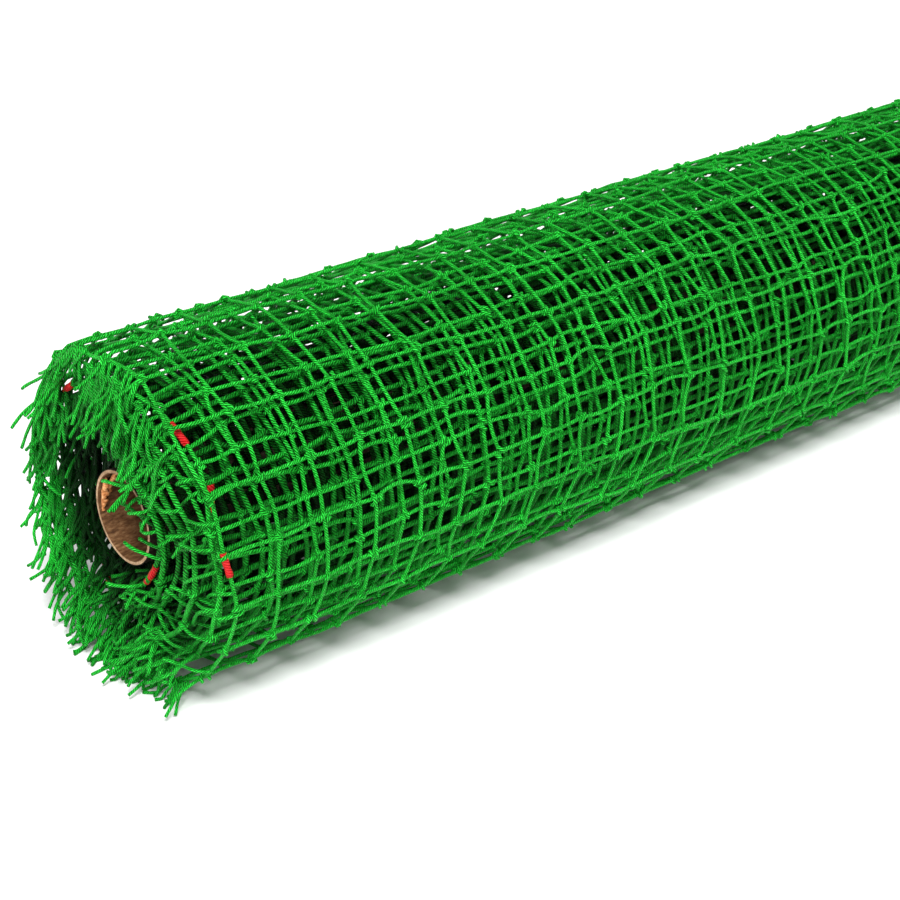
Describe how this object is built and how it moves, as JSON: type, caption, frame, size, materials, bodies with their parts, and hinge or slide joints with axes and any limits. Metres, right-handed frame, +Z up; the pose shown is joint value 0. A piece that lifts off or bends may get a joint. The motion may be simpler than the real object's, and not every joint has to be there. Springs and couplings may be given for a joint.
{
  "type": "roll of knotted netting",
  "caption": "Knotted square-mesh twine net wound in many turns on a cardboard tube, with brushes of cut twine ends and a free edge that lifts.",
  "frame": {"origin": "on the floor under the middle of the roll", "axes": "+X along the roll from the near end with the red marks to the far end, +Y back, +Z up"},
  "size_m": [1.26, 0.3054, 0.2968],
  "materials": {
    "green_twine": "satin",
    "cut_twine": "satin",
    "red_twine": "satin",
    "core_liner": "matte",
    "core_board": "matte",
    "core_paper": "matte"
  },
  "bodies": {
    "roll": {"core_board": "core_board", "core_inner_ply": "core_liner", "core_outer_ply": "core_paper", "cut_ends_far": "cut_twine", "cut_ends_near": "cut_twine", "metre_mark_1": "red_twine", "metre_mark_2": "red_twine", "metre_mark_3": "red_twine", "metre_mark_4": "red_twine", "metre_mark_5": "red_twine", "metre_mark_6": "red_twine", "metre_mark_7": "red_twine", "metre_mark_8": "red_twine", "net_turn_01": "green_twine", "net_turn_02": "green_twine", "net_turn_03": "green_twine", "net_turn_04": "green_twine", "net_turn_05": "green_twine", "net_turn_06": "green_twine", "net_turn_07": "green_twine", "net_turn_08": "green_twine", "net_turn_09": "green_twine", "net_turn_10": "green_twine", "net_turn_11": "green_twine", "net_turn_12": "green_twine", "net_turn_13": "green_twine"},
    "free_edge": {"net_free_edge": "green_twine"}
  },
  "joints": [
    {"name": "free_edge_lift", "type": "hinge", "parent": "roll", "child": "free_edge", "pos_m": [0, 0.14353, 0.20166], "axis": [-1, 0, 0], "range_deg": [0, 110]}
  ]
}
